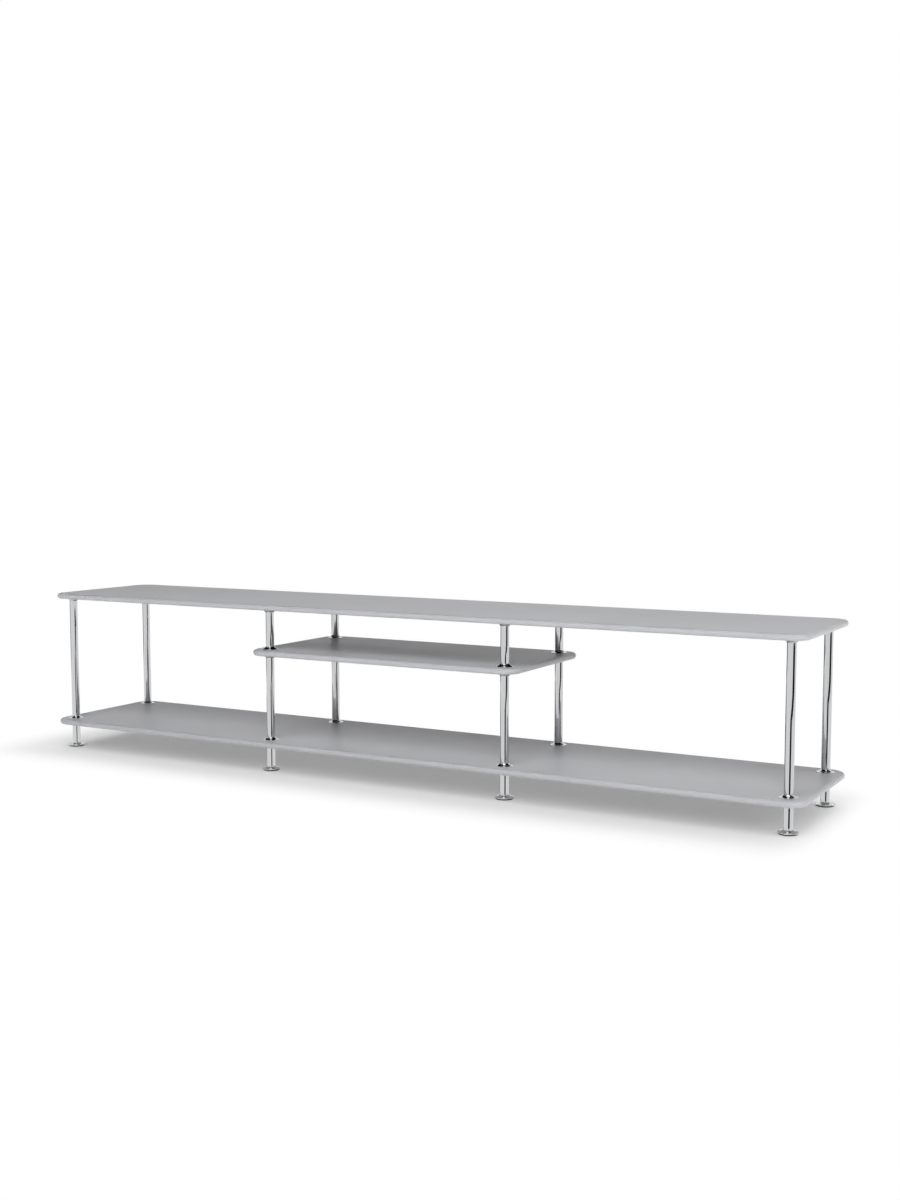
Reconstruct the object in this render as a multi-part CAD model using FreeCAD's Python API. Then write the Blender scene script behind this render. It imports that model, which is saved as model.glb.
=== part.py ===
import FreeCAD, Part
import math
import os

# A low open shelving bench. Two long lacquered boards and one short middle shelf are carried by
# four pairs of chromed tubes, which stand on screw-adjusted feet.
# Sizes are in millimetres. The origin is on the floor under the middle of the bench.
# X runs along the bench, the front is at -Y, and Z is up.

Vector = FreeCAD.Vector

# Layout of the posts
COLUMNS = ("left", "mid_left", "mid_right", "right")
INNER_COLUMNS = ("mid_left", "mid_right")
OUTER_COLUMNS = ("left", "right")
ROWS = {"front": -1, "back": 1}
BAY_PITCH = 651.0  # between neighbouring post axes along the bench
ROW_PITCH = 288.0  # between the front and back post axes
POST_INSET = 41.0  # from a post axis to the edge of the board

# Heights between the boards
LEG_CLEARANCE = 62.0  # floor to bottom board
LOWER_GAP = 212.0  # bottom board to middle shelf
UPPER_GAP = 99.0  # middle shelf to top board

# Boards
BOARD_THICKNESS = 14.0
CORNER_RADIUS = 41.0  # corners seen from above
EDGE_RADIUS = 6.5  # rounding along the rim, above and below
THINNEST_RIM = 0.5  # flat band that the two roundings leave between them

# Tubes
POST_DIAMETER = 20.0
POST_WALL = 1.5

# Collars where a tube meets a board
COLLAR_DIAMETER = 40.0
COLLAR_HEIGHT = 7.0
COLLAR_RIM = 0.8  # upright edge at the foot of the flare
COLLAR_NECK = 0.5  # wall at the top of the flare
COLLAR_HOLLOW = 1.4  # how far the flare bows in from a straight cone

# Fastenings inside the tubes and boards
STUD_DIAMETER = 8.0
STUD_REACH = 13.0  # length of stud in a tube's plug
STUD_HOLE_CLEARANCE = 0.25
PLUG_LENGTH = 16.0
FOOT_PLUG_LENGTH = 16.0
FOOT_PLUG_SETBACK = 0.5  # foot plug's end inside the leg's end
INSERT_WALL = 2.0
INSERT_FLANGE = 1.5  # thickness of the flange that the tube's plug draws up against
INSERT_COVER = 4.5  # board left above the hole for an insert
INSERT_END_CLEARANCE = 0.5
FIT_CLEARANCE = 0.05  # radial, between pieces that fit closely

# Levelling feet
FOOT_DIAMETER = 44.0
FOOT_RIM = 2.2  # thickness of the disc at its full-round rim
FOOT_RISE = 3.6  # from the rim up to the land under the leg
FOOT_HOLLOW = 0.7  # how far the flare bows in from a straight cone
FOOT_LAND_MARGIN = 0.5  # land that shows round the leg
STEM_DIAMETER = 8.0
STEM_HEADROOM = 12.5  # between the stem and the stud above it

# Glides under the feet
GLIDE_STAND = 3.0  # floor to the underside of the disc
GLIDE_RECESS = 1.0  # depth of the pad in the disc
GLIDE_MARGIN = 2.5  # rim of the disc round the pad
GLIDE_CHAMFER = 0.4
GLIDE_CLEARANCE = 0.3  # radial, between the pad and the disc that turns over it
SPIGOT_DIAMETER = 4.6
SPIGOT_LENGTH = 8.0
SPIGOT_END_CLEARANCE = 0.5

# Levels, from the floor up
disc_under = GLIDE_STAND
disc_rim_top = disc_under + FOOT_RIM
disc_top = disc_rim_top + FOOT_RISE
bottom_under = LEG_CLEARANCE
bottom_top = bottom_under + BOARD_THICKNESS
shelf_under = bottom_top + LOWER_GAP
shelf_top = shelf_under + BOARD_THICKNESS
top_under = shelf_top + UPPER_GAP
insert_hole_depth = BOARD_THICKNESS - INSERT_COVER
insert_top = top_under + insert_hole_depth - INSERT_END_CLEARANCE
stem_top = bottom_under - STUD_REACH - STEM_HEADROOM

# Radii
post_radius = POST_DIAMETER / 2
post_bore = post_radius - POST_WALL
plug_radius = post_bore - FIT_CLEARANCE
stud_radius = STUD_DIAMETER / 2
stud_bore = stud_radius + FIT_CLEARANCE
stud_hole = stud_radius + STUD_HOLE_CLEARANCE
insert_radius = stud_bore + INSERT_WALL
insert_hole = insert_radius + FIT_CLEARANCE
flange_radius = plug_radius
flange_seat = flange_radius + FIT_CLEARANCE
stem_radius = STEM_DIAMETER / 2
stem_bore = stem_radius + FIT_CLEARANCE
glide_radius = FOOT_DIAMETER / 2 - GLIDE_MARGIN
spigot_radius = SPIGOT_DIAMETER / 2
spigot_bore = spigot_radius + FIT_CLEARANCE
rim_rounding = min(EDGE_RADIUS, (BOARD_THICKNESS - THINNEST_RIM) / 2)


def post_axes(columns):
    """Every post in these columns, as its name and the x and y of its axis."""
    middle = (len(COLUMNS) - 1) / 2
    axes = {}
    for column in columns:
        for row, side in ROWS.items():
            x = (COLUMNS.index(column) - middle) * BAY_PITCH
            axes[f"{column}_{row}"] = (x, side * ROW_PITCH / 2)
    return axes


def rod(radius, low, high):
    """Upright round bar on the Z axis."""
    return Part.makeCylinder(radius, high - low, Vector(0, 0, low))


def ring(outer, inner, low, high):
    """Upright tube on the Z axis."""
    return rod(outer, low, high).cut(rod(inner, low, high))


def line(start, end):
    """Straight edge between two points of an outline, each a radius and a height."""
    return Part.LineSegment(Vector(start[0], 0, start[1]), Vector(end[0], 0, end[1])).toShape()


def arc(start, middle, end):
    """Round edge through three points of an outline, each a radius and a height."""
    points = [Vector(radius, 0, height) for radius, height in (start, middle, end)]
    return Part.Arc(*points).toShape()


def flare(rim, neck, hollow):
    """Round edge from the rim of a flare to its neck, bowed in from a straight cone."""
    run = rim[0] - neck[0]
    rise = neck[1] - rim[1]
    bow = hollow / math.hypot(run, rise)
    middle_radius = (rim[0] + neck[0]) / 2 - bow * abs(rise)
    middle_height = (rim[1] + neck[1]) / 2 - math.copysign(bow * run, rise)
    return arc(rim, (middle_radius, middle_height), neck)


def turned(edges):
    """Solid made by turning a closed outline about the Z axis."""
    outline = Part.Face(Part.Wire(edges))
    return outline.revolve(Vector(0, 0, 0), Vector(0, 0, 1), 360)


def at_posts(shape, columns):
    """One copy of a piece at every post in these columns, as a group of separate solids."""
    copies = [shape.translated(Vector(x, y, 0)) for x, y in post_axes(columns).values()]
    return Part.makeCompound(copies)


def board(columns, under):
    """Board over these columns, with rounded corners and a rounded rim."""
    xs = [x for x, _ in post_axes(columns).values()]
    length = max(xs) - min(xs) + 2 * POST_INSET
    depth = ROW_PITCH + 2 * POST_INSET
    corner = Vector(min(xs) - POST_INSET, -depth / 2, under)
    blank = Part.makeBox(length, depth, BOARD_THICKNESS, corner)
    upright = [e for e in blank.Edges if abs(e.tangentAt(e.FirstParameter).z) > 0.5]
    blank = blank.makeFillet(CORNER_RADIUS, upright)
    rims = [e for e in blank.Edges if abs(e.tangentAt(e.FirstParameter).z) < 0.5]
    return blank.makeFillet(rim_rounding, rims)


def collar(seat, up):
    """Trumpet-shaped collar round a tube, from its seat on a board, with up 1 or -1."""
    bore = post_radius + FIT_CLEARANCE
    neck = bore + COLLAR_NECK
    rim = COLLAR_DIAMETER / 2
    seat_inner = (bore, seat)
    seat_outer = (rim, seat)
    rim_top = (rim, seat + up * COLLAR_RIM)
    neck_outer = (neck, seat + up * COLLAR_HEIGHT)
    neck_inner = (bore, seat + up * COLLAR_HEIGHT)
    return turned(
        [
            line(seat_inner, seat_outer),
            line(seat_outer, rim_top),
            flare(rim_top, neck_outer, COLLAR_HOLLOW),
            line(neck_outer, neck_inner),
            line(neck_inner, seat_inner),
        ]
    )


def foot():
    """Disc with a full-round rim, a flare up to the leg and a stem, recessed below for its glide."""
    rim = FOOT_DIAMETER / 2
    shoulder = rim - FOOT_RIM / 2
    land = post_radius + FOOT_LAND_MARGIN
    disc = turned(
        [
            line((0, disc_under), (shoulder, disc_under)),
            arc((shoulder, disc_under), (rim, disc_under + FOOT_RIM / 2), (shoulder, disc_rim_top)),
            flare((shoulder, disc_rim_top), (land, disc_top), FOOT_HOLLOW),
            line((land, disc_top), (0, disc_top)),
            line((0, disc_top), (0, disc_under)),
        ]
    )
    recess_top = disc_under + GLIDE_RECESS
    bore_top = recess_top + SPIGOT_LENGTH + SPIGOT_END_CLEARANCE
    whole = disc.fuse(rod(stem_radius, recess_top, stem_top))
    whole = whole.cut(rod(glide_radius + GLIDE_CLEARANCE, 0, recess_top))
    return whole.cut(rod(spigot_bore, 0, bore_top)).removeSplitter()


def glide():
    """Pad that stays still on the floor, with the spigot that the foot turns on."""
    pad_top = disc_under + GLIDE_RECESS
    spigot_top = pad_top + SPIGOT_LENGTH
    outline = [
        (0, 0),
        (glide_radius - GLIDE_CHAMFER, 0),
        (glide_radius, GLIDE_CHAMFER),
        (glide_radius, pad_top),
        (spigot_radius, pad_top),
        (spigot_radius, spigot_top),
        (0, spigot_top),
    ]
    return turned([line(a, b) for a, b in zip(outline, outline[1:] + outline[:1])])


def plug(low, high):
    """Threaded plug in the end of a tube, drawn with a plain bore."""
    return ring(plug_radius, stud_bore, low, high)


def insert():
    """Threaded insert for the top board, with a flange as wide as the plug below it."""
    barrel = ring(insert_radius, stud_bore, top_under, insert_top)
    flange = ring(flange_radius, stud_bore, top_under, top_under + INSERT_FLANGE)
    return barrel.fuse(flange).removeSplitter()


def write(node, shape):
    """Save one piece, or one group of like pieces, under its name."""
    shape.exportStep(f"parts/{node}.step")


def write_boards():
    """The three boards, drilled for the studs or counterbored for the inserts."""
    stud_holes = rod(stud_hole, bottom_under, shelf_top)
    barrel_hole = rod(insert_hole, top_under, top_under + insert_hole_depth)
    insert_holes = barrel_hole.fuse(rod(flange_seat, top_under, top_under + INSERT_FLANGE))
    bottom = board(COLUMNS, bottom_under).cut(at_posts(stud_holes, COLUMNS))
    shelf = board(INNER_COLUMNS, shelf_under).cut(at_posts(stud_holes, INNER_COLUMNS))
    top = board(COLUMNS, top_under).cut(at_posts(insert_holes, COLUMNS))
    write("bottom_board", bottom)
    write("middle_shelf", shelf)
    write("top_board", top)


def write_tubes():
    """Every leg and post as a piece of its own, cut between the boards that it joins."""
    runs = [
        ("leg", COLUMNS, disc_top, bottom_under),
        ("post", OUTER_COLUMNS, bottom_top, top_under),
        ("lower_post", INNER_COLUMNS, bottom_top, shelf_under),
        ("upper_post", INNER_COLUMNS, shelf_top, top_under),
    ]
    for kind, columns, low, high in runs:
        tube = ring(post_radius, post_bore, low, high)
        for name, (x, y) in post_axes(columns).items():
            write(f"{name}_{kind}", tube.translated(Vector(x, y, 0)))


def write_collars():
    """A collar on each side of a board where a tube meets it, grouped by level."""
    write("leg_collars", at_posts(collar(bottom_under, -1), COLUMNS))
    write("bottom_collars", at_posts(collar(bottom_top, 1), COLUMNS))
    write("shelf_lower_collars", at_posts(collar(shelf_under, -1), INNER_COLUMNS))
    write("shelf_upper_collars", at_posts(collar(shelf_top, 1), INNER_COLUMNS))
    write("top_collars", at_posts(collar(top_under, -1), COLUMNS))


def write_fastenings():
    """The plugs in the tubes, and the studs and inserts that draw tubes and boards together."""
    foot_plug_low = disc_top + FOOT_PLUG_SETBACK
    foot_plug = ring(plug_radius, stem_bore, foot_plug_low, foot_plug_low + FOOT_PLUG_LENGTH)
    write("foot_plugs", at_posts(foot_plug, COLUMNS))
    write("leg_plugs", at_posts(plug(bottom_under - PLUG_LENGTH, bottom_under), COLUMNS))
    write("post_base_plugs", at_posts(plug(bottom_top, bottom_top + PLUG_LENGTH), COLUMNS))
    write("shelf_lower_plugs", at_posts(plug(shelf_under - PLUG_LENGTH, shelf_under), INNER_COLUMNS))
    write("shelf_upper_plugs", at_posts(plug(shelf_top, shelf_top + PLUG_LENGTH), INNER_COLUMNS))
    write("post_head_plugs", at_posts(plug(top_under - PLUG_LENGTH, top_under), COLUMNS))

    bottom_stud = rod(stud_radius, bottom_under - STUD_REACH, bottom_top + STUD_REACH)
    shelf_stud = rod(stud_radius, shelf_under - STUD_REACH, shelf_top + STUD_REACH)
    top_stud = rod(stud_radius, top_under - STUD_REACH, insert_top - INSERT_END_CLEARANCE)
    write("bottom_studs", at_posts(bottom_stud, COLUMNS))
    write("shelf_studs", at_posts(shelf_stud, INNER_COLUMNS))
    write("top_studs", at_posts(top_stud, COLUMNS))
    write("top_inserts", at_posts(insert(), COLUMNS))


def write_feet():
    """A screw foot and its glide under every leg."""
    for name, (x, y) in post_axes(COLUMNS).items():
        write(f"{name}_foot", foot().translated(Vector(x, y, 0)))
        write(f"{name}_glide", glide().translated(Vector(x, y, 0)))


os.makedirs("parts", exist_ok=True)
write_boards()
write_tubes()
write_collars()
write_fastenings()
write_feet()
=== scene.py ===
import functools
import math

import bmesh
import bpy
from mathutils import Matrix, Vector


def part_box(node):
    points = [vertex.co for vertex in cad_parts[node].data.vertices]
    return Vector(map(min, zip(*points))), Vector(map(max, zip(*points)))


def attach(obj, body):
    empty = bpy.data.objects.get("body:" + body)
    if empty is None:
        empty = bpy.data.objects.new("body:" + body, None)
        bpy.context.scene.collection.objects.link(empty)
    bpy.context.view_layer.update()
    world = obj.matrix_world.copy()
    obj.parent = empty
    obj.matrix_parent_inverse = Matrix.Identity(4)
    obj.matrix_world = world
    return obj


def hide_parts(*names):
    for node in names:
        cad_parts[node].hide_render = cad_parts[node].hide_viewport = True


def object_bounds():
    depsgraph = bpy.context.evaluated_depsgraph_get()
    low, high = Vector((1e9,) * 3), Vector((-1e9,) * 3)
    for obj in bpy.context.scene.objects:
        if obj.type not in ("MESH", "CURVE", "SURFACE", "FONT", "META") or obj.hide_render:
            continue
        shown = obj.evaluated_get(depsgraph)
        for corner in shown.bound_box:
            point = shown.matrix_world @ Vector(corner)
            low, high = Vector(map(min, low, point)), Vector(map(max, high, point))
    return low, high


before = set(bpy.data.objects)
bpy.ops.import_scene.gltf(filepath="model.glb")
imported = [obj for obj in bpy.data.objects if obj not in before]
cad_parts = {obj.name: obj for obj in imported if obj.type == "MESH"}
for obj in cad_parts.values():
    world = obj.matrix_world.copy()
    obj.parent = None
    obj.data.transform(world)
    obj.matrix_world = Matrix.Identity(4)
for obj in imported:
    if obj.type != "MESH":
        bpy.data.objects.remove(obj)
cad_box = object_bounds()

# A low open shelving bench: grey lacquered boards on chromed tube posts, with flared collars and
# screw feet. Lengths are in metres, in the frame's own axes: X along the bench, the front at -Y and
# Z up from the floor.
MM = 0.001

# Posts, as the frame names them
COLUMNS = ("left", "mid_left", "mid_right", "right")
ROWS = ("front", "back")
POSTS = [f"{column}_{row}" for column in COLUMNS for row in ROWS]
INNER_POSTS = [post for post in POSTS if post.startswith("mid_")]
OUTER_POSTS = [post for post in POSTS if post not in INNER_POSTS]
BOARDS = ("bottom_board", "middle_shelf", "top_board")
FASTENINGS = (
    "foot_plugs",
    "leg_plugs",
    "post_base_plugs",
    "shelf_lower_plugs",
    "shelf_upper_plugs",
    "post_head_plugs",
    "bottom_studs",
    "shelf_studs",
    "top_studs",
    "top_inserts",
)

# Boards
CORNER_RADIUS = 41 * MM  # corners seen from above
EDGE_RADIUS = 6.5 * MM  # rounding along the rim, above and below
CORNER_STEPS = 32
EDGE_STEPS = 12
SHADING_BAND = 1.5 * MM  # narrow band round the flat faces, so that they shade flat
RIM_ANGLE = math.radians(60)  # edges of a board that bend by more than this are its rims
FLAT_NORMAL = 0.999  # least upright share of a flat face's normal

# Tubes
POST_WALL = 1.5 * MM
TUBE_EASE = 0.25 * MM  # broken edge at a tube's ends

# Collars
COLLAR_RADIUS = 20 * MM
COLLAR_RIM = 0.8 * MM  # upright edge at the foot of the flare
COLLAR_NECK = 0.5 * MM  # wall at the tip of the flare
COLLAR_HOLLOW = 1.4 * MM  # how far the flare bows in from a straight cone
COLLAR_EASE = 0.2 * MM
FLARE_SHARE = 0.97  # share of the flare that is one round sweep

# Feet and the glides under them
FIT_CLEARANCE = 0.05 * MM
FOOT_RIM = 2.2 * MM
FOOT_ROUND = 1.08 * MM
FOOT_HOLLOW = 0.7 * MM  # how far the flare bows in from a straight cone
LAND_MARGIN = 0.5 * MM  # flat land that shows round the leg
LAND_EASE = 0.15 * MM
GLIDE_RECESS = 1.0 * MM
GLIDE_CLEARANCE = 0.3 * MM
GLIDE_CHAMFER = 0.4 * MM
GROOVE_RADII = (6 * MM, 10.5 * MM, 15 * MM)
GROOVE_WIDTH = 1.2 * MM
GROOVE_DEPTH = 0.35 * MM
SPIGOT_RADIUS = 2.3 * MM
SPIGOT_END_CLEARANCE = 0.5 * MM

# Screw of a foot
SCREW_RADIUS = 3.98 * MM
SCREW_ROOT = 3.4 * MM
SCREW_POINT = 0.6 * MM
THREAD_PITCH = 1.25 * MM
THREAD_CREST = 0.15 * MM  # half the width of a crest
THREAD_BASE = 0.56 * MM  # half the width of a thread at its root
THREAD_SINK = 0.05 * MM  # how far a thread's root lies inside the core
THREAD_STEPS = 32

# Fineness of turned and rounded shapes
TURN_STEPS = 96
ROUND_STEPS = 8
ROUND_PROFILE = 0.5  # a bevel that is part of a circle
MERGE_DISTANCE = 0.5e-6
SHARP_ANGLE = math.radians(32)

# Patterns in the finishes
NOISE_MEAN = 0.5
TONE_DETAIL = 3.0
SMEAR_DETAIL = 4.0
SMEAR_TWIST = 0.8
BUMP_DETAIL = 2.0
BUMP_FINENESS = 0.45
SWELL_DETAIL = 1.0
EVEN_GRAIN = (1.0, 1.0, 1.0)
UPRIGHT_GRAIN = (1.0, 1.0, 0.03)

# Finishes. Clouds and speckle in the tone and haze in the roughness go by scale and amount, relief
# by the scales of its bumps and of the swell under them, and bump by strength and distance.
FINISHES = {
    # sprayed on smooth board: faint orange peel, soft clouds and a little haze
    "satin_grey_lacquer": {
        "tone": (0.399, 0.402, 0.419, 1),
        "clouds": (2.2, 0.05),
        "speckle": (700.0, 0.06),
        "roughness": 0.34,
        "haze": (6.0, 0.10),
        "grain": EVEN_GRAIN,
        "relief": (420.0, 90.0),
        "bump": (0.12, 0.05 * MM),
        "shine": {"Specular IOR Level": 0.3},
    },
    # fine lengthwise polishing lines and faint wipe marks
    "polished_chrome": {
        "tone": (0.60, 0.605, 0.615, 1),
        "clouds": (14.0, 0.04),
        "speckle": (900.0, 0.02),
        "roughness": 0.03,
        "haze": (60.0, 0.05),
        "grain": UPRIGHT_GRAIN,
        "relief": (1400.0, 260.0),
        "bump": (0.03, 0.05 * MM),
        "shine": {"Metallic": 1.0},
    },
    # slightly mottled and dull
    "zinc_plated_steel": {
        "tone": (0.55, 0.545, 0.52, 1),
        "clouds": (120.0, 0.25),
        "speckle": (1500.0, 0.15),
        "roughness": 0.22,
        "haze": (300.0, 0.22),
        "grain": EVEN_GRAIN,
        "relief": (1800.0, 500.0),
        "bump": (0.2, 0.04 * MM),
        "shine": {"Metallic": 1.0},
    },
    # fine matt skin from the mould
    "moulded_black_nylon": {
        "tone": (0.035, 0.035, 0.038, 1),
        "clouds": (80.0, 0.2),
        "speckle": (1200.0, 0.2),
        "roughness": 0.45,
        "haze": (150.0, 0.2),
        "grain": EVEN_GRAIN,
        "relief": (2200.0, 600.0),
        "bump": (0.3, 0.05 * MM),
        "shine": {},
    },
}

# Camera
CAMERA_PLACE = (1.78008, -2.98152, 0.73306)
CAMERA_TURN = math.radians(29.353)
CAMERA_DIP = math.radians(5.0433)
CAMERA_LENS = 42.868
CAMERA_REACH = 60.0

# Lights
WHITE = (1, 1, 1, 1)
DOME_LIGHT = 0.03  # surroundings, as they light the bench
LIGHT_AIM = (0.0, 0.0, 0.2)
SOFTBOX_SIZE = (3.5, 2.8)
KEY_PLACE = (0.7, -3.03, 3.39)
KEY_POWER = 178.0
SIDE_PLACE = (4.2, -0.5, 1.6)
SIDE_POWER = 74.0
WASH_PLACE = (2.0, 0.0, 3.0)
WASH_AIM = (2.0, 0.0, 0.0)
WASH_SIZE = (12.0, 12.0)
WASH_POWER = 940.0

# Surroundings as the chrome shows them: brightness by the sine of the height above the horizon
MIRRORED_BANDS = (
    (-0.62, 0.8), (-0.45, 1.0), (0.0, 1.0), (0.06, 0.6), (0.15, 0.8),
    (0.28, 0.8), (0.4, 1.0), (0.6, 0.9), (0.75, 0.06),
)

# Cards that only reflections show: each by its left and right edge from the bottom up, and those
# under the boards by their gap and inset
DARK_TONE = (0.02, 0.02, 0.02, 1)
DARK_CARD = (
    ((1.78, -2.93, -2.5), (3.32, -1.85, -2.5)),
    ((1.78, -2.93, -0.25), (3.32, -1.85, -0.25)),
    ((3.77, -2.41, -0.15), (4.50, 0.60, -0.15)),
    ((3.77, -2.41, 0.3), (4.50, 0.60, 0.3)),
)
BRIGHT_GLOW = 1.6
# glow of the card under the bottom board, painted light that only reflections show
PAINTED_UNDERSIDE_GLOW = 0.34
BRIGHT_CARD = (
    ((-0.8, -3.9, 1.8), (2.6, -3.9, 1.8)),
    ((-0.8, -2.3, 4.0), (2.6, -2.3, 4.0)),
    ((-0.8, -0.6, 5.2), (2.6, -0.6, 5.2)),
)
REAR_CARD = (
    ((-4.2, 4.0, 1.3), (0.6, 4.0, 1.3)),
    ((-4.2, 4.0, 1.4), (0.6, 4.0, 1.6)),
)
# Under the boards, cards paint reflections: dark ones paint shade under the top board and the
# middle shelf, a glowing one paints light under the bottom board
CARD_GAP = 1 * MM  # from a board's underside to the card under it
CARD_INSET = 12 * MM  # from the board's edge to the card's

# Floor
FLOOR_REACH = 12.0
FLOOR_LAP = 0.06  # how far each tile of the floor runs on under its neighbours
FLOOR_DROP = 0.012  # how deep its edge lies there
FLOOR_TONE = (0.95, 0.95, 0.95, 1)
FLOOR_SHADE = (0.39, 0.39, 0.39, 1)  # tone that carries the shadow
FLOOR_LIFT = 0.295  # brightness that the floor shows where no light falls on it
SHADOW_CUT = 0.05  # how far inside the bench's right end its shadow is cut off
SHADOW_HASTE = 2.0  # how much faster it fades there than at the other sides
SHADOW_REACH = 0.03  # from the bench's outline to where its shadow starts to fade
SHADOW_END = 0.21  # and to where the floor is plain white
GLEAM_REACH = 0.02  # how far off the chrome still shows the floor
GLEAM_END = 0.05  # and where it shows it no more
UNIT_GRID = 0.5  # half the side of a grid that is one metre wide


@functools.lru_cache(maxsize=None)
def box_of(node):
    """Lowest and highest corner of a node."""
    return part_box(node)


def centre_of(node):
    """Middle of a node's box."""
    low, high = box_of(node)
    return (low + high) / 2


def levels_of(node):
    """Lowest and highest level of a node."""
    low, high = box_of(node)
    return low.z, high.z


def radius_of(node):
    """Outer radius of a node that is one upright turned piece."""
    low, high = box_of(node)
    return (high.x - low.x) / 2


def finish_piece(name, bm, material, body, slot, *nodes):
    """Turn a shape into a smooth-shaded piece that rides on a body and stands for these nodes."""
    mesh = bpy.data.meshes.new(name)
    bm.to_mesh(mesh)
    bm.free()
    mesh.materials.append(material)
    mesh.shade_smooth()
    mesh.set_sharp_from_angle(angle=SHARP_ANGLE)
    piece = bpy.data.objects.new(name, mesh)
    bpy.context.scene.collection.objects.link(piece)
    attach(piece, body)
    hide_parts(*nodes)


def turned(outline, closed=True):
    """Shape turned about Z from an outline of radius, height and rounding at each corner."""
    bm = bmesh.new()
    corners = [bm.verts.new((radius, 0, height)) for radius, height, _ in outline]
    run = corners + corners[:1] if closed else corners
    for start, end in zip(run, run[1:]):
        bm.edges.new((start, end))
    for corner, (_, _, rounding) in zip(corners, outline):
        if rounding:
            bmesh.ops.bevel(
                bm,
                geom=[corner],
                offset=rounding,
                offset_type="OFFSET",
                segments=ROUND_STEPS,
                profile=ROUND_PROFILE,
                affect="VERTICES",
                material=-1,
            )
    bmesh.ops.spin(
        bm,
        geom=bm.verts[:] + bm.edges[:],
        cent=(0, 0, 0),
        axis=(0, 0, 1),
        angle=math.tau,
        steps=TURN_STEPS,
        use_merge=True,
    )
    bmesh.ops.remove_doubles(bm, verts=bm.verts[:], dist=MERGE_DISTANCE)
    bmesh.ops.recalc_face_normals(bm, faces=bm.faces[:])
    return bm


def stand_at(bm, posts):
    """Move a shape on the Z axis to the first of these posts, with a copy at each of the others."""
    shape = bm.verts[:] + bm.edges[:] + bm.faces[:]
    first, *others = [centre_of(f"{post}_leg").to_2d().to_3d() for post in posts]
    for axis in others:
        copy = bmesh.ops.duplicate(bm, geom=shape)["geom"]
        corners = [element for element in copy if isinstance(element, bmesh.types.BMVert)]
        bmesh.ops.translate(bm, vec=axis, verts=corners)
    corners = [element for element in shape if isinstance(element, bmesh.types.BMVert)]
    bmesh.ops.translate(bm, vec=first, verts=corners)
    return bm


def board(node):
    """Board with rounded corners and a rounded rim, in a node's box."""
    low, high = box_of(node)
    rounding = {
        "profile": ROUND_PROFILE,
        "affect": "EDGES",
        "material": -1,
        "offset_type": "OFFSET",
    }
    bm = bmesh.new()
    bmesh.ops.create_cube(bm, size=1)
    bmesh.ops.scale(bm, vec=high - low, verts=bm.verts[:])
    bmesh.ops.translate(bm, vec=(low + high) / 2, verts=bm.verts[:])
    upright = [e for e in bm.edges if abs(e.verts[0].co.z - e.verts[1].co.z) > EDGE_RADIUS]
    bmesh.ops.bevel(bm, geom=upright, offset=CORNER_RADIUS, segments=CORNER_STEPS, **rounding)
    rims = [e for e in bm.edges if e.calc_face_angle() > RIM_ANGLE]
    bmesh.ops.bevel(bm, geom=rims, offset=EDGE_RADIUS, segments=EDGE_STEPS, **rounding)
    flats = [f for f in bm.faces if abs(f.normal.z) > FLAT_NORMAL and len(f.verts) > 4]
    bmesh.ops.inset_region(bm, faces=flats, thickness=SHADING_BAND, use_even_offset=True)
    return bm


def tube(node):
    """Tube with broken edges at its ends, in a node's box."""
    low, high = levels_of(node)
    outer = radius_of(node)
    inner = outer - POST_WALL
    return turned(
        [
            (inner, low, TUBE_EASE),
            (outer, low, TUBE_EASE),
            (outer, high, TUBE_EASE),
            (inner, high, TUBE_EASE),
        ]
    )


def flared(rim, neck, hollow):
    """Corner of an outline, with its rounding, that makes a hollow flare from a rim to a neck."""
    rise = Vector(neck) - Vector(rim)
    inward = Vector((-abs(rise.y), math.copysign(1, rise.y) * rise.x)).normalized()
    depth = 2 * hollow / (1 - (2 * hollow / rise.length) ** 2)
    bend = (Vector(rim) + Vector(neck)) / 2 + inward * depth
    return (bend.x, bend.y, FLARE_SHARE * (Vector(rim) - bend).length)


def collar(seat, tip):
    """Trumpet-shaped collar round a tube, from its seat on a board to its thin tip."""
    bore = radius_of("left_front_leg") + FIT_CLEARANCE
    rim_top = seat + math.copysign(COLLAR_RIM, tip - seat)
    neck = bore + COLLAR_NECK
    return turned(
        [
            (bore, seat, 0),
            (COLLAR_RADIUS, seat, COLLAR_EASE),
            (COLLAR_RADIUS, rim_top, 0),
            flared((COLLAR_RADIUS, rim_top), (neck, tip), COLLAR_HOLLOW),
            (neck, tip, 0),
            (bore, tip, 0),
        ]
    )


def foot_disc(post):
    """Disc with a full-round rim and a flare up to the leg, recessed below for its glide."""
    under, _ = levels_of(f"{post}_foot")
    disc_top, _ = levels_of(f"{post}_leg")
    rim = radius_of(f"{post}_foot")
    rim_top = under + FOOT_RIM
    recess = radius_of(f"{post}_glide") + GLIDE_CLEARANCE
    land = radius_of(f"{post}_leg") + LAND_MARGIN
    return turned(
        [
            (SCREW_ROOT, under + GLIDE_RECESS, 0),
            (recess, under + GLIDE_RECESS, 0),
            (recess, under, 0),
            (rim, under, FOOT_ROUND),
            (rim, rim_top, FOOT_ROUND),
            flared((rim - FOOT_RIM / 2, rim_top), (land, disc_top), FOOT_HOLLOW),
            (land, disc_top, LAND_EASE),
            (SCREW_ROOT, disc_top, 0),
        ]
    )


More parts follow.
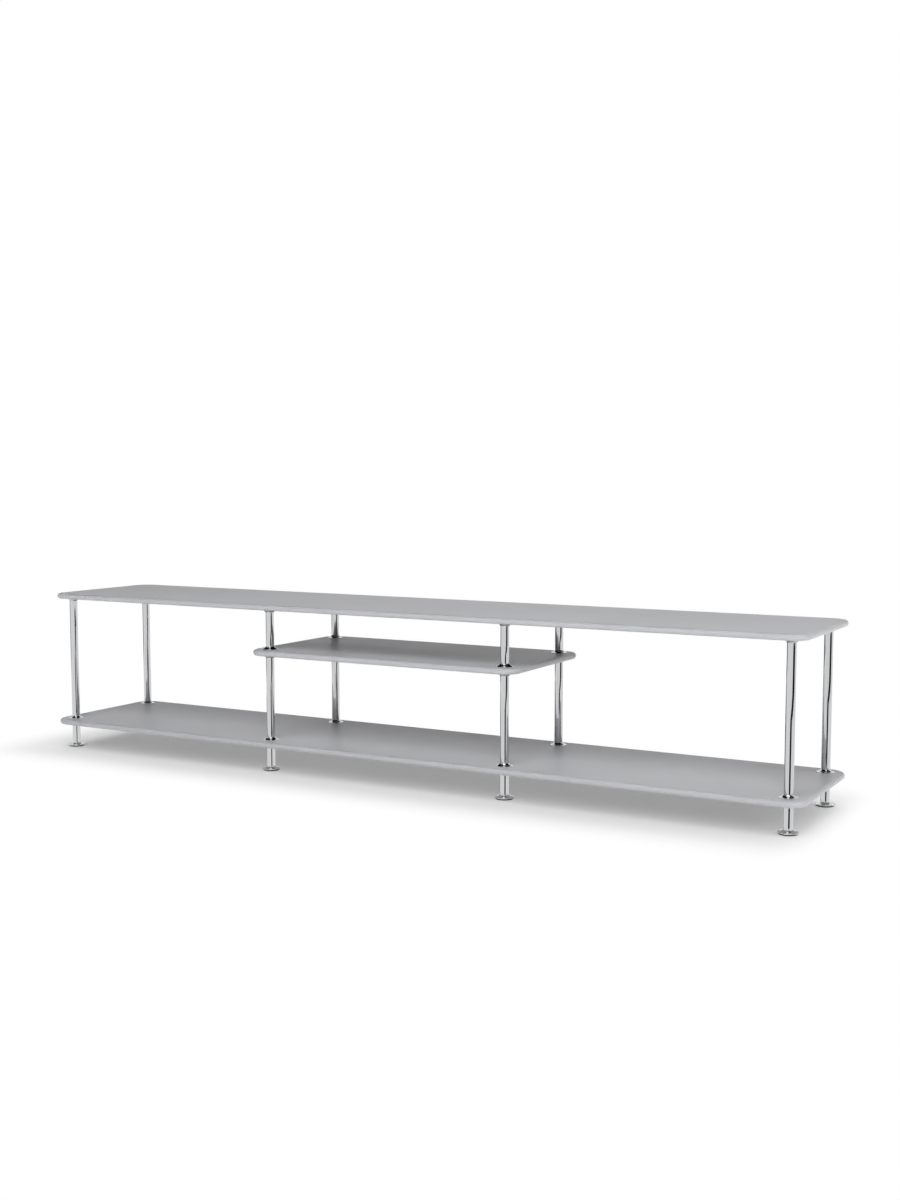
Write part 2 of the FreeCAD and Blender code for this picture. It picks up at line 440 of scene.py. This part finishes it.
def foot_screw(post):
    """Screw of a foot's disc, with a wound thread and a blind bore for the glide's spigot."""
    under, screw_top = levels_of(f"{post}_foot")
    disc_top, _ = levels_of(f"{post}_leg")
    _, spigot_top = levels_of(f"{post}_glide")
    bore = SPIGOT_RADIUS + FIT_CLEARANCE
    bore_top = spigot_top + SPIGOT_END_CLEARANCE
    bm = turned(
        [
            (0, bore_top, 0),
            (bore, bore_top, 0),
            (bore, under + GLIDE_RECESS, 0),
            (SCREW_ROOT, under + GLIDE_RECESS, 0),
            (SCREW_ROOT, screw_top - SCREW_POINT, 0),
            (SCREW_ROOT - SCREW_POINT, screw_top, 0),
            (0, screw_top, 0),
        ],
        closed=False,
    )
    start = disc_top + THREAD_BASE
    turns = int((screw_top - SCREW_POINT - start) / THREAD_PITCH)
    section = [
        bm.verts.new((SCREW_ROOT - THREAD_SINK, 0, start - THREAD_BASE)),
        bm.verts.new((SCREW_RADIUS, 0, start - THREAD_CREST)),
        bm.verts.new((SCREW_RADIUS, 0, start + THREAD_CREST)),
        bm.verts.new((SCREW_ROOT - THREAD_SINK, 0, start + THREAD_BASE)),
    ]
    face = bm.faces.new(section)
    bmesh.ops.spin(
        bm,
        geom=section + face.edges[:] + [face],
        cent=(0, 0, 0),
        axis=(0, 0, 1),
        dvec=(0, 0, THREAD_PITCH / THREAD_STEPS),
        angle=turns * math.tau,
        steps=turns * THREAD_STEPS,
    )
    bmesh.ops.recalc_face_normals(bm, faces=bm.faces[:])
    return bm


def glide(post):
    """Moulded pad with grooves below and a spigot above."""
    floor_level, spigot_top = levels_of(f"{post}_glide")
    under, _ = levels_of(f"{post}_foot")
    pad = radius_of(f"{post}_glide")
    pad_top = under + GLIDE_RECESS
    outline = [(0, floor_level, 0)]
    for radius in GROOVE_RADII:
        outline.append((radius - GROOVE_WIDTH / 2, floor_level, 0))
        outline.append((radius - GROOVE_WIDTH / 4, floor_level + GROOVE_DEPTH, 0))
        outline.append((radius + GROOVE_WIDTH / 4, floor_level + GROOVE_DEPTH, 0))
        outline.append((radius + GROOVE_WIDTH / 2, floor_level, 0))
    outline += [
        (pad, floor_level, GLIDE_CHAMFER),
        (pad, pad_top, 0),
        (SPIGOT_RADIUS, pad_top, 0),
        (SPIGOT_RADIUS, spigot_top, GLIDE_CHAMFER),
        (0, spigot_top, 0),
    ]
    return turned(outline, closed=False)


def place(tree, kind, inputs=None, **settings):
    """Add a node to a tree, with its settings, and set or link its inputs by name or number."""
    made = tree.nodes.new(kind)
    for name, value in settings.items():
        setattr(made, name, value)
    for name, value in (inputs or {}).items():
        if isinstance(value, bpy.types.NodeSocket):
            tree.links.new(value, made.inputs[name])
        else:
            made.inputs[name].default_value = value
    return made


def new_effect(name, inputs, outputs):
    """Start a shader group with these named inputs and outputs, each with its kind of socket."""
    group = bpy.data.node_groups.new(name, "ShaderNodeTree")
    for title, kind in inputs.items():
        group.interface.new_socket(title, in_out="INPUT", socket_type=f"NodeSocket{kind}")
    for title, kind in outputs.items():
        group.interface.new_socket(title, in_out="OUTPUT", socket_type=f"NodeSocket{kind}")
    given = group.nodes.new("NodeGroupInput").outputs
    result = group.nodes.new("NodeGroupOutput").inputs
    return group, given, result


def tone_drift_effect():
    """A colour that drifts lighter and darker in soft clouds, with a fine speckle over them."""
    group, given, result = new_effect(
        "tone_drift",
        {
            "Vector": "Vector",
            "Colour": "Color",
            "Cloud Scale": "Float",
            "Cloud": "Float",
            "Speckle Scale": "Float",
            "Speckle": "Float",
        },
        {"Colour": "Color"},
    )
    tone = given["Colour"]
    for layer in ("Cloud", "Speckle"):
        noise = place(
            group,
            "ShaderNodeTexNoise",
            {
                "Vector": given["Vector"],
                "Scale": given[f"{layer} Scale"],
                "Detail": TONE_DETAIL,
            },
        )
        centred = {0: noise.outputs["Fac"], 1: NOISE_MEAN}
        share = place(group, "ShaderNodeMath", centred, operation="SUBTRACT")
        swing = {0: share.outputs[0], 1: given[layer], 2: 1.0}
        shade = place(group, "ShaderNodeMath", swing, operation="MULTIPLY_ADD")
        tinted = {0: tone, "Scale": shade.outputs[0]}
        tone = place(group, "ShaderNodeVectorMath", tinted, operation="SCALE").outputs[0]
    group.links.new(tone, result["Colour"])
    return group


def haze_effect():
    """A roughness that rises in faint smears, as on a finish that has been wiped and handled."""
    group, given, result = new_effect(
        "handling_haze",
        {"Vector": "Vector", "Roughness": "Float", "Scale": "Float", "Amount": "Float"},
        {"Roughness": "Float"},
    )
    smear = place(
        group,
        "ShaderNodeTexNoise",
        {
            "Vector": given["Vector"],
            "Scale": given["Scale"],
            "Detail": SMEAR_DETAIL,
            "Distortion": SMEAR_TWIST,
        },
    )
    raised = {0: smear.outputs["Fac"], 1: given["Amount"], 2: given["Roughness"]}
    haze = place(group, "ShaderNodeMath", raised, operation="MULTIPLY_ADD")
    group.links.new(haze.outputs[0], result["Roughness"])
    return group


def relief_effect():
    """A fine relief of rounded bumps over a slower swell, as sprayed and moulded skins have."""
    group, given, result = new_effect(
        "skin_relief",
        {"Vector": "Vector", "Scale": "Float", "Swell": "Float"},
        {"Height": "Float"},
    )
    bumps = place(
        group,
        "ShaderNodeTexNoise",
        {
            "Vector": given["Vector"],
            "Scale": given["Scale"],
            "Detail": BUMP_DETAIL,
            "Roughness": BUMP_FINENESS,
        },
    )
    swell = place(
        group,
        "ShaderNodeTexNoise",
        {"Vector": given["Vector"], "Scale": given["Swell"], "Detail": SWELL_DETAIL},
    )
    layers = {0: bumps.outputs["Fac"], 1: swell.outputs["Fac"]}
    height = place(group, "ShaderNodeMath", layers, operation="ADD")
    group.links.new(height.outputs[0], result["Height"])
    return group


tone_drift = tone_drift_effect()
handling_haze = haze_effect()
skin_relief = relief_effect()


def make_finish(name):
    """Material by its values in the table: a drifting tone, a hazy roughness and a fine relief."""
    look = FINISHES[name]
    material = bpy.data.materials.new(name)
    material.use_nodes = True
    tree = material.node_tree
    shader = tree.nodes["Principled BSDF"]
    spot = place(tree, "ShaderNodeTexCoord").outputs["Object"]
    stretched = {"Vector": spot, "Scale": look["grain"]}
    grain = place(tree, "ShaderNodeMapping", stretched).outputs["Vector"]

    def effect(group, inputs):
        """Place a shared effect and return what it gives."""
        return place(tree, "ShaderNodeGroup", inputs, node_tree=group).outputs[0]

    cloud_scale, cloud = look["clouds"]
    speckle_scale, speckle = look["speckle"]
    tone = effect(
        tone_drift,
        {
            "Vector": spot,
            "Colour": look["tone"],
            "Cloud Scale": cloud_scale,
            "Cloud": cloud,
            "Speckle Scale": speckle_scale,
            "Speckle": speckle,
        },
    )
    haze_scale, haze = look["haze"]
    roughness = effect(
        handling_haze,
        {"Vector": spot, "Roughness": look["roughness"], "Scale": haze_scale, "Amount": haze},
    )
    bump_scale, swell_scale = look["relief"]
    height = effect(skin_relief, {"Vector": grain, "Scale": bump_scale, "Swell": swell_scale})
    strength, distance = look["bump"]
    raised = {"Height": height, "Strength": strength, "Distance": distance}
    bump = place(tree, "ShaderNodeBump", raised)
    tree.links.new(tone, shader.inputs["Base Color"])
    tree.links.new(roughness, shader.inputs["Roughness"])
    tree.links.new(bump.outputs["Normal"], shader.inputs["Normal"])
    for title, value in look["shine"].items():
        shader.inputs[title].default_value = value
    return material


lacquer = make_finish("satin_grey_lacquer")
chrome = make_finish("polished_chrome")
zinc = make_finish("zinc_plated_steel")
nylon = make_finish("moulded_black_nylon")


def dress_boards():
    """The three lacquered boards."""
    for node in BOARDS:
        finish_piece(f"lacquered_{node}", board(node), lacquer, "frame", "board_lacquer", node)


def dress_tubes():
    """Every chromed leg and post."""
    nodes = [f"{post}_leg" for post in POSTS]
    nodes += [f"{post}_post" for post in OUTER_POSTS]
    nodes += [f"{post}_{part}" for post in INNER_POSTS for part in ("lower_post", "upper_post")]
    for node in nodes:
        post = next(post for post in POSTS if node.startswith(post))
        shape = stand_at(tube(node), [post])
        finish_piece(f"chromed_{node}", shape, chrome, "frame", "chrome", node)


def dress_collars():
    """The chromed collars of each level, above and below the boards."""
    levels = {
        "leg_collars": (POSTS, False),
        "bottom_collars": (POSTS, True),
        "shelf_lower_collars": (INNER_POSTS, False),
        "shelf_upper_collars": (INNER_POSTS, True),
        "top_collars": (POSTS, False),
    }
    for node, (posts, above) in levels.items():
        low, high = levels_of(node)
        shape = collar(low, high) if above else collar(high, low)
        finish_piece(f"chromed_{node}", stand_at(shape, posts), chrome, "frame", "chrome", node)


def dress_feet():
    """The foot under each leg: its chromed disc, its zinc-plated screw and its nylon glide."""
    for post in POSTS:
        body = f"{post}_foot"
        still = f"{post}_glide"
        disc = stand_at(foot_disc(post), [post])
        screw = stand_at(foot_screw(post), [post])
        pad = stand_at(glide(post), [post])
        finish_piece(f"chromed_{post}_foot_disc", disc, chrome, body, "chrome", body)
        finish_piece(f"zinc_{post}_foot_screw", screw, zinc, body, "plated_steel")
        finish_piece(f"nylon_{post}_glide", pad, nylon, still, "glide_plastic", still)


def dress_fastenings():
    """The zinc-plated plugs, studs and inserts, which keep their shapes from the frame."""
    for node in FASTENINGS:
        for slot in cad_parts[node].material_slots:
            slot.material = zinc


def set_camera():
    """Camera at the front right, a little above the bench."""
    data = bpy.data.cameras.new("studio_camera")
    data.lens = CAMERA_LENS
    data.clip_end = CAMERA_REACH
    camera = bpy.data.objects.new("studio_camera", data)
    camera.location = CAMERA_PLACE
    camera.rotation_euler = (math.pi / 2 - CAMERA_DIP, 0, CAMERA_TURN)
    bpy.context.scene.collection.objects.link(camera)
    bpy.context.scene.camera = camera


def set_surroundings():
    """White surroundings that light the bench evenly; chrome shows them banded, dark overhead."""
    world = bpy.data.worlds.new("white_studio")
    world.use_nodes = True
    bpy.context.scene.world = world
    tree = world.node_tree
    path = place(tree, "ShaderNodeLightPath").outputs
    light = tree.nodes["Background"]
    light.inputs["Color"].default_value = WHITE
    light.inputs["Strength"].default_value = DOME_LIGHT
    white = place(tree, "ShaderNodeBackground", {"Color": WHITE, "Strength": 1.0})
    direction = place(tree, "ShaderNodeTexCoord").outputs["Generated"]
    height = place(tree, "ShaderNodeSeparateXYZ", {"Vector": direction}).outputs["Z"]
    share = place(tree, "ShaderNodeMapRange", {"Value": height, "From Min": -1.0, "From Max": 1.0})
    bands = place(tree, "ShaderNodeValToRGB", {"Fac": share.outputs[0]})
    stops = bands.color_ramp.elements
    stops.remove(stops[1])
    for sine, tone in MIRRORED_BANDS:
        stops.new((sine + 1) / 2).color = (tone, tone, tone, 1)
    stops.remove(stops[0])
    banded = {"Color": bands.outputs["Color"], "Strength": 1.0}
    mirrored = place(tree, "ShaderNodeBackground", banded)
    looked_at = {0: path["Is Camera Ray"], 1: path["Is Transmission Ray"]}
    seen = place(tree, "ShaderNodeMath", looked_at, operation="MAXIMUM")
    shown = {"Fac": seen.outputs[0], 1: light.outputs[0], 2: white.outputs[0]}
    plain = place(tree, "ShaderNodeMixShader", shown)
    all_rays = {"Fac": path["Is Glossy Ray"], 1: plain.outputs[0], 2: mirrored.outputs[0]}
    chosen = place(tree, "ShaderNodeMixShader", all_rays)
    tree.links.new(chosen.outputs[0], tree.nodes["World Output"].inputs["Surface"])


def set_softbox(name, where, aim, size, power):
    """Large soft light, turned to where it aims, which the chrome doesn't show."""
    data = bpy.data.lights.new(name, "AREA")
    data.shape = "RECTANGLE"
    data.size, data.size_y = size
    data.energy = power
    softbox = bpy.data.objects.new(name, data)
    softbox.location = where
    softbox.rotation_euler = (Vector(aim) - Vector(where)).to_track_quat("-Z", "Y").to_euler()
    softbox.visible_camera = False
    softbox.visible_glossy = False
    bpy.context.scene.collection.objects.link(softbox)
    return softbox


def set_lights(tiles):
    """Key light and side light for the bench, and a wash that falls on the floor alone."""
    key = set_softbox("key_softbox", KEY_PLACE, LIGHT_AIM, SOFTBOX_SIZE, KEY_POWER)
    side = set_softbox("side_softbox", SIDE_PLACE, LIGHT_AIM, SOFTBOX_SIZE, SIDE_POWER)
    wash = set_softbox("floor_wash", WASH_PLACE, WASH_AIM, WASH_SIZE, WASH_POWER)
    for lamp, state in ((key, "EXCLUDE"), (side, "EXCLUDE"), (wash, "INCLUDE")):
        floor = bpy.data.collections.new(f"floor_of_{lamp.name}")
        for tile in tiles:
            floor.objects.link(tile)
        lamp.light_linking.receiver_collection = floor
        for member in floor.collection_objects:
            member.light_linking.link_state = state


def add_stage(name, bm, material):
    """Turn a shape into a part of the studio, which isn't part of the bench."""
    mesh = bpy.data.meshes.new(name)
    bm.to_mesh(mesh)
    bm.free()
    mesh.materials.append(material)
    made = bpy.data.objects.new(name, mesh)
    bpy.context.scene.collection.objects.link(made)
    return made


def add_card(name, rows, side, material):
    """Studio card, at its own side or turned round to the other, that only reflections show."""
    bm = bmesh.new()
    turned_rows = [[bm.verts.new((side * x, side * y, z)) for x, y, z in row] for row in rows]
    for (left, right), (upper_left, upper_right) in zip(turned_rows, turned_rows[1:]):
        bm.faces.new((left, right, upper_right, upper_left))
    card = add_stage(name, bm, material)
    card.visible_camera = False
    card.visible_diffuse = False
    card.visible_transmission = False
    card.visible_shadow = False


def set_cards():
    """Dark cards for the chrome's stripes, bright ones for its lights, and painted reflections
    under the boards.
    """
    dark = bpy.data.materials.new("dark_card")
    dark.use_nodes = True
    cloth = dark.node_tree.nodes["Principled BSDF"]
    cloth.inputs["Base Color"].default_value = DARK_TONE
    cloth.inputs["Specular IOR Level"].default_value = 0.0
    glowing = {}
    for name, strength in (("bright_card", BRIGHT_GLOW), ("painted_glow_card", PAINTED_UNDERSIDE_GLOW)):
        glowing[name] = bpy.data.materials.new(name)
        glowing[name].use_nodes = True
        glow = glowing[name].node_tree.nodes["Principled BSDF"]
        glow.inputs["Base Color"].default_value = DARK_TONE
        glow.inputs["Emission Color"].default_value = WHITE
        glow.inputs["Emission Strength"].default_value = strength
    add_card("dark_card_front", DARK_CARD, 1, dark)
    add_card("dark_card_back", DARK_CARD, -1, dark)
    add_card("bright_card_front", BRIGHT_CARD, 1, glowing["bright_card"])
    add_card("rear_card", REAR_CARD, 1, glowing["bright_card"])
    # painted shade under the top board and middle shelf, and painted light under the bottom board,
    # which only reflections show
    under = {"top_board": dark, "middle_shelf": dark, "bottom_board": glowing["painted_glow_card"]}
    for node, finish in under.items():
        low, high = box_of(node)
        level = low.z - CARD_GAP
        rows = [
            [(x, y, level) for x in (low.x + CARD_INSET, high.x - CARD_INSET)]
            for y in (low.y + CARD_INSET, high.y - CARD_INSET)
        ]
        add_card(f"painted_reflection_under_{node}", rows, 1, finish)


def floor_finish():
    """Pale paper that keeps the bench's shadow, fades to white far off and is clear from below."""
    material = bpy.data.materials.new("pale_paper")
    material.use_nodes = True
    tree = material.node_tree
    tree.nodes.remove(tree.nodes["Principled BSDF"])
    path = place(tree, "ShaderNodeLightPath").outputs
    spot = place(tree, "ShaderNodeTexCoord").outputs["Object"]
    low, high = cad_box
    cut_off = SHADOW_HASTE * (SHADOW_CUT - high[0])
    past_right = {0: spot, 1: (SHADOW_HASTE, 1, 0), 2: (cut_off, -high[1], 0)}
    past_left = {0: spot, 1: (-1, -1, 0), 2: (low[0], low[1], 0)}
    sides = [
        place(tree, "ShaderNodeVectorMath", ends, operation="MULTIPLY_ADD").outputs[0]
        for ends in (past_right, past_left)
    ]
    past = place(tree, "ShaderNodeVectorMath", dict(enumerate(sides)), operation="MAXIMUM")
    floored = {0: past.outputs[0], 1: (0, 0, 0)}
    outside = place(tree, "ShaderNodeVectorMath", floored, operation="MAXIMUM")
    length = place(tree, "ShaderNodeVectorMath", {0: outside.outputs[0]}, operation="LENGTH")
    distance = length.outputs["Value"]
    fade_ends = {"Value": distance, "From Min": SHADOW_REACH, "From Max": SHADOW_END}
    fade = place(tree, "ShaderNodeMapRange", fade_ends, interpolation_type="SMOOTHSTEP").outputs[0]
    gleam_ends = {"Value": path["Ray Length"], "From Min": GLEAM_REACH, "From Max": GLEAM_END}
    gone = place(tree, "ShaderNodeMapRange", gleam_ends, interpolation_type="SMOOTHSTEP").outputs[0]
    below = place(tree, "ShaderNodeNewGeometry").outputs["Backfacing"]
    paper = place(tree, "ShaderNodeBsdfDiffuse", {"Color": FLOOR_TONE}).outputs[0]
    lift = place(tree, "ShaderNodeEmission", {"Color": WHITE, "Strength": FLOOR_LIFT}).outputs[0]
    white = place(tree, "ShaderNodeEmission", {"Color": WHITE, "Strength": 1.0}).outputs[0]
    clear = place(tree, "ShaderNodeBsdfTransparent").outputs[0]
    shade = place(tree, "ShaderNodeBsdfDiffuse", {"Color": FLOOR_SHADE}).outputs[0]
    near = place(tree, "ShaderNodeAddShader", {0: shade, 1: lift}).outputs[0]
    faded = place(tree, "ShaderNodeMixShader", {"Fac": fade, 1: near, 2: white}).outputs[0]
    seen = place(tree, "ShaderNodeMixShader", {"Fac": below, 1: faded, 2: clear}).outputs[0]
    mirrored = place(tree, "ShaderNodeMixShader", {"Fac": gone, 1: paper, 2: clear}).outputs[0]
    camera_rays = {"Fac": path["Is Camera Ray"], 1: paper, 2: seen}
    looked_at = place(tree, "ShaderNodeMixShader", camera_rays).outputs[0]
    chosen = {"Fac": path["Is Glossy Ray"], 1: looked_at, 2: mirrored}
    result = place(tree, "ShaderNodeMixShader", chosen).outputs[0]
    tree.links.new(result, tree.nodes["Material Output"].inputs["Surface"])
    return material


def set_floor():
    """Floor in one tile for each foot, which follows its glide and laps under its neighbours."""
    tiles = []
    paper = floor_finish()
    xs = [centre_of(f"{column}_front_leg").x for column in COLUMNS]
    x_lines = [-FLOOR_REACH] + [(a + b) / 2 for a, b in zip(xs, xs[1:])] + [FLOOR_REACH]
    y_lines = [-FLOOR_REACH, 0, FLOOR_REACH]
    for i, column in enumerate(COLUMNS):
        for j, row in enumerate(ROWS):
            size = Vector((x_lines[i + 1] - x_lines[i], y_lines[j + 1] - y_lines[j], 0))
            lapped = size + Vector((2 * FLOOR_LAP, 2 * FLOOR_LAP, 1))
            middle = Vector((x_lines[i + 1] + x_lines[i], y_lines[j + 1] + y_lines[j], 0)) / 2
            bm = bmesh.new()
            edge = bmesh.ops.create_grid(bm, x_segments=1, y_segments=1, size=UNIT_GRID)["verts"]
            bmesh.ops.scale(bm, vec=lapped, verts=edge)
            bmesh.ops.translate(bm, vec=middle, verts=edge)
            bmesh.ops.inset_region(
                bm, faces=bm.faces[:], thickness=FLOOR_LAP, use_boundary=True, use_even_offset=True
            )
            bmesh.ops.translate(bm, vec=(0, 0, -FLOOR_DROP), verts=edge)
            tile = add_stage(f"floor_{column}_{row}", bm, paper)
            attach(tile, f"{column}_{row}_glide")
            tiles.append(tile)
    return tiles


dress_boards()
dress_tubes()
dress_collars()
dress_feet()
dress_fastenings()
set_camera()
set_surroundings()
set_cards()
set_lights(set_floor())
bpy.context.scene.view_settings.view_transform = "Standard"
